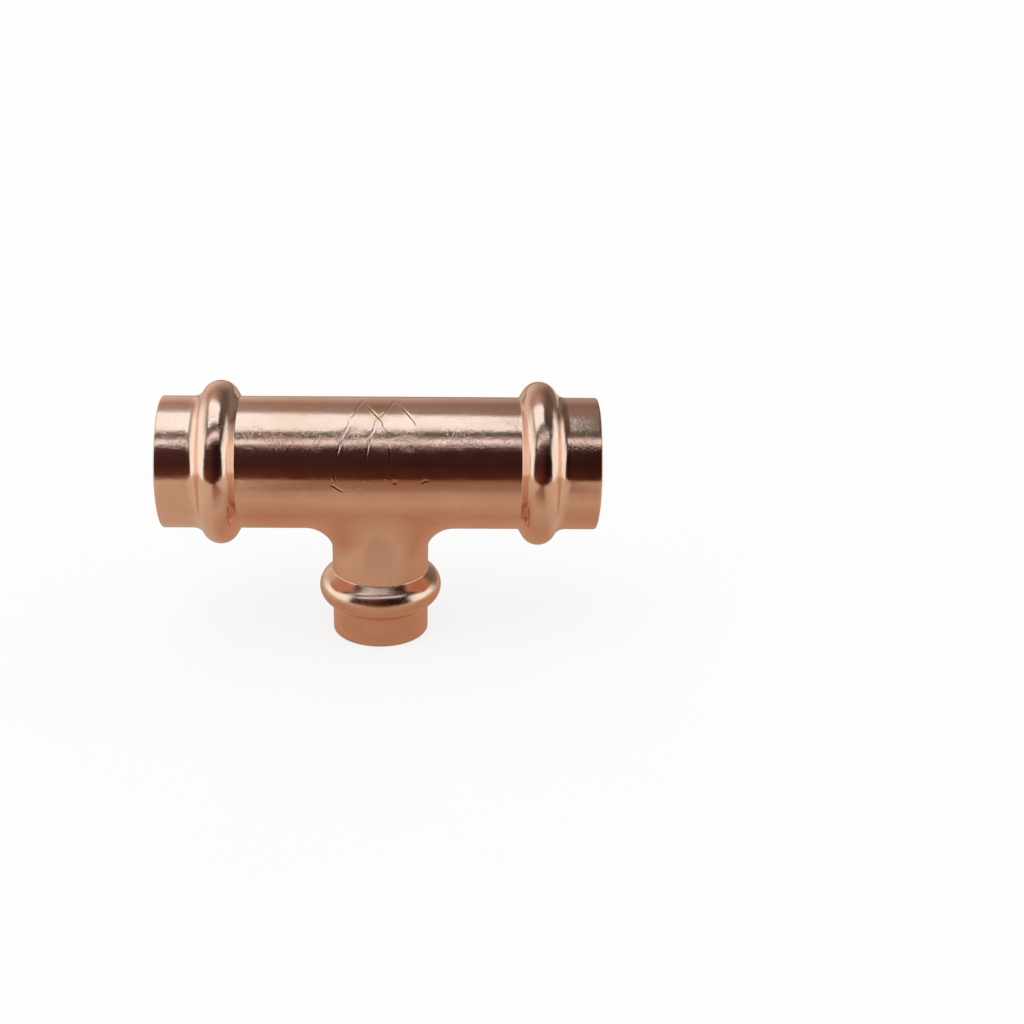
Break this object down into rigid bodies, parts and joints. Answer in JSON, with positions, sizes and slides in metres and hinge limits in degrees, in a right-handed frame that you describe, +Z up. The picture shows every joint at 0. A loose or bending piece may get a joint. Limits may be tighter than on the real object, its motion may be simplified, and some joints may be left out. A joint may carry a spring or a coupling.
{
  "type": "reducing tee pipe fitting",
  "caption": "Copper press-fit reducing tee: straight run with a smaller branch, each socket with a rolled bead holding a rubber O-ring.",
  "frame": {"origin": "centre of the branch mouth, in the plane that the tee stands on", "axes": "+X along the run, +Z up from the branch mouth to the run; the branch points down, along -Z"},
  "size_m": [0.0812, 0.0308, 0.0498],
  "materials": {
    "copper": "bright drawn copper, lightly polished, with fine drawing marks and forming creases",
    "seal_rubber": "satin black EPDM"
  },
  "bodies": {
    "root": {"tee_body": "copper", "run_seal_left": "seal_rubber", "run_seal_right": "seal_rubber", "branch_seal": "seal_rubber"}
  },
  "joints": []
}
